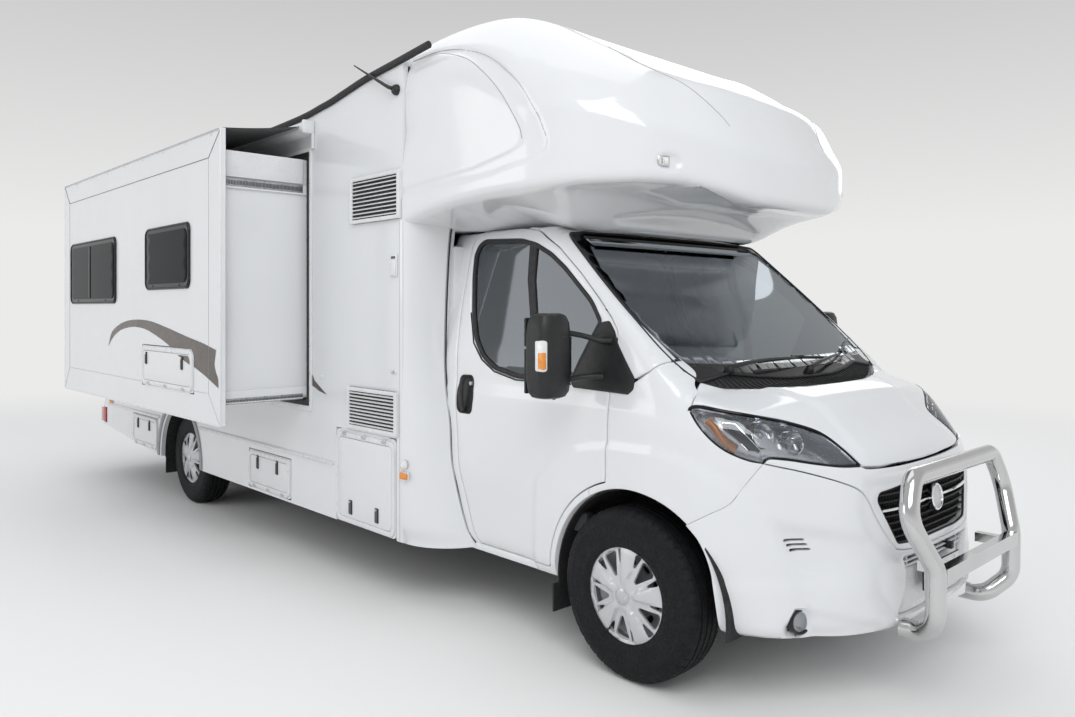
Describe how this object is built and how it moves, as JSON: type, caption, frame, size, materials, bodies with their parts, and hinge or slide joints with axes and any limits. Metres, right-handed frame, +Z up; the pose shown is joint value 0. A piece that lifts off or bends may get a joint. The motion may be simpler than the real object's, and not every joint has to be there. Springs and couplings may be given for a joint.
{
  "type": "coach-built motorhome with slide-out room",
  "caption": "Coach-built motorhome on a van cab, with an overcab moulding, a slide-out room, lockers, opening doors, steered wheels and a front bull bar.",
  "frame": {"origin": "centre of the vehicle's footprint on the ground, mirrors, tow bar and extended slide-out included", "axes": "+Y points to the rear along the vehicle, +X to its left, +Z up"},
  "size_m": [3.072, 7.8977, 3.0967],
  "materials": {
    "white_paint": "gloss",
    "white_panel": "gloss",
    "white_moulding": "gloss",
    "black_plastic": "matte",
    "dark_glass": "gloss",
    "screen_glass": "gloss",
    "lamp_lens": "gloss",
    "red_lens": "gloss",
    "polished_steel": "polished",
    "dark_steel": "satin",
    "galvanised": "satin",
    "rubber": "matte",
    "silver_wheel": "satin",
    "grey_trim": "matte",
    "cloth_grey": "woven",
    "vinyl_cloth": "coated cloth",
    "floor_board": "matte",
    "cast_block": "raw"
  },
  "bodies": {
    "root": {"cab_body": "white_paint", "front_bumper": "white_paint", "grille": "black_plastic", "scuttle": "black_plastic", "windscreen": "screen_glass", "headlamps": "lamp_lens", "side_fillers": "white_moulding", "dashboard": "grey_trim", "seats": "cloth_grey", "overcab_cap": "white_moulding", "wall_right": "white_panel", "wall_left": "white_panel", "wall_rear": "white_panel", "body_windows": "dark_glass", "roof": "white_panel", "skirts": "white_panel", "locker_tubs": "black_plastic", "floor": "floor_board", "arch_liners": "black_plastic", "chassis_frame": "galvanised", "front_subframe": "dark_steel", "engine_block": "cast_block", "rear_axle": "dark_steel", "slide_frame": "galvanised", "topper_roller": "grey_trim", "topper_cloth": "vinyl_cloth", "air_conditioner": "white_moulding", "awning_cassette": "white_moulding", "rear_bumper": "white_moulding", "tail_lamps": "red_lens", "tow_hitch": "dark_steel", "bull_bar": "polished_steel"},
    "cab_door_right": {"cab_door_right": "white_paint", "cab_door_glass_right": "dark_glass", "door_mirror_right": "black_plastic"},
    "cab_door_left": {"cab_door_left": "white_paint", "cab_door_glass_left": "dark_glass", "door_mirror_left": "black_plastic"},
    "bonnet": {"bonnet": "white_paint"},
    "entry_door": {"entry_door": "white_panel"},
    "roof_hatch": {"roof_hatch_lid": "white_moulding"},
    "steering_right": {"knuckle_right": "dark_steel"},
    "steering_left": {"knuckle_left": "dark_steel"},
    "slide_room": {"slide_box": "white_panel", "slide_skin": "white_panel", "slide_windows": "dark_glass"},
    "slide_hatch": {"slide_hatch": "white_panel"},
    "locker_front": {"locker_door_front": "white_panel"},
    "locker_middle": {"locker_door_middle": "white_panel"},
    "locker_rear": {"locker_door_rear": "white_panel"},
    "wheel_front_right": {"tyre_front_right": "rubber", "wheel_front_right": "silver_wheel"},
    "wheel_front_left": {"tyre_front_left": "rubber", "wheel_front_left": "silver_wheel"},
    "wheel_rear_right": {"tyre_rear_right": "rubber", "wheel_rear_right": "silver_wheel"},
    "wheel_rear_left": {"tyre_rear_left": "rubber", "wheel_rear_left": "silver_wheel"}
  },
  "joints": [
    {"name": "cab_door_right_hinge", "type": "hinge", "parent": "root", "child": "cab_door_right", "pos_m": [-0.785, -2.725, 1], "axis": [0, 0, 1], "range_deg": [0, 68]},
    {"name": "cab_door_left_hinge", "type": "hinge", "parent": "root", "child": "cab_door_left", "pos_m": [1.257, -2.725, 1], "axis": [0, 0, -1], "range_deg": [0, 68]},
    {"name": "bonnet_hinge", "type": "hinge", "parent": "root", "child": "bonnet", "pos_m": [0.236, -3.132, 1.253], "axis": [-1, 0, 0], "range_deg": [0, 55]},
    {"name": "steering_right_pivot", "type": "hinge", "parent": "root", "child": "steering_right", "pos_m": [-0.614, -2.843, 0.372], "axis": [0, 0, 1], "range_deg": [-35, 35]},
    {"name": "steering_left_pivot", "type": "hinge", "parent": "root", "child": "steering_left", "pos_m": [1.086, -2.843, 0.372], "axis": [0, 0, 1], "range_deg": [-35, 35]},
    {"name": "wheel_front_right_spin", "type": "hinge", "parent": "steering_right", "child": "wheel_front_right", "pos_m": [-0.669, -2.843, 0.372], "axis": [1, 0, 0], "continuous": true},
    {"name": "wheel_front_left_spin", "type": "hinge", "parent": "steering_left", "child": "wheel_front_left", "pos_m": [1.141, -2.843, 0.372], "axis": [1, 0, 0], "continuous": true},
    {"name": "wheel_rear_right_spin", "type": "hinge", "parent": "root", "child": "wheel_rear_right", "pos_m": [-0.754, 1.797, 0.372], "axis": [1, 0, 0], "continuous": true},
    {"name": "wheel_rear_left_spin", "type": "hinge", "parent": "root", "child": "wheel_rear_left", "pos_m": [1.226, 1.797, 0.372], "axis": [1, 0, 0], "continuous": true},
    {"name": "slide_room_travel", "type": "slide", "parent": "root", "child": "slide_room", "axis": [1, 0, 0], "range_m": [0, 0.535], "deforming": ["topper_cloth"]},
    {"name": "slide_hatch_hinge", "type": "hinge", "parent": "slide_room", "child": "slide_hatch", "pos_m": [-1.528, 0.436, 1.083], "axis": [0, -1, 0], "range_deg": [0, 95]},
    {"name": "locker_front_hinge", "type": "hinge", "parent": "root", "child": "locker_front", "pos_m": [-0.944, -1.0395, 0.89], "axis": [0, 1, 0], "range_deg": [0, 100]},
    {"name": "locker_middle_hinge", "type": "hinge", "parent": "root", "child": "locker_middle", "pos_m": [-0.944, 0.175, 0.36], "axis": [0, -1, 0], "range_deg": [0, 100]},
    {"name": "locker_rear_hinge", "type": "hinge", "parent": "root", "child": "locker_rear", "pos_m": [-0.944, 2.622, 0.38], "axis": [0, -1, 0], "range_deg": [0, 100]},
    {"name": "entry_door_hinge", "type": "hinge", "parent": "root", "child": "entry_door", "pos_m": [1.416, -0.543, 1.61], "axis": [0, 0, -1], "range_deg": [0, 165]},
    {"name": "roof_hatch_hinge", "type": "hinge", "parent": "root", "child": "roof_hatch", "pos_m": [0.236, 0.157, 2.8233], "axis": [1, 0, 0], "range_deg": [0, 60]}
  ],
  "couplings": [
    {"joint": "steering_right_pivot", "follows": "steering_left_pivot", "ratio": 1}
  ]
}
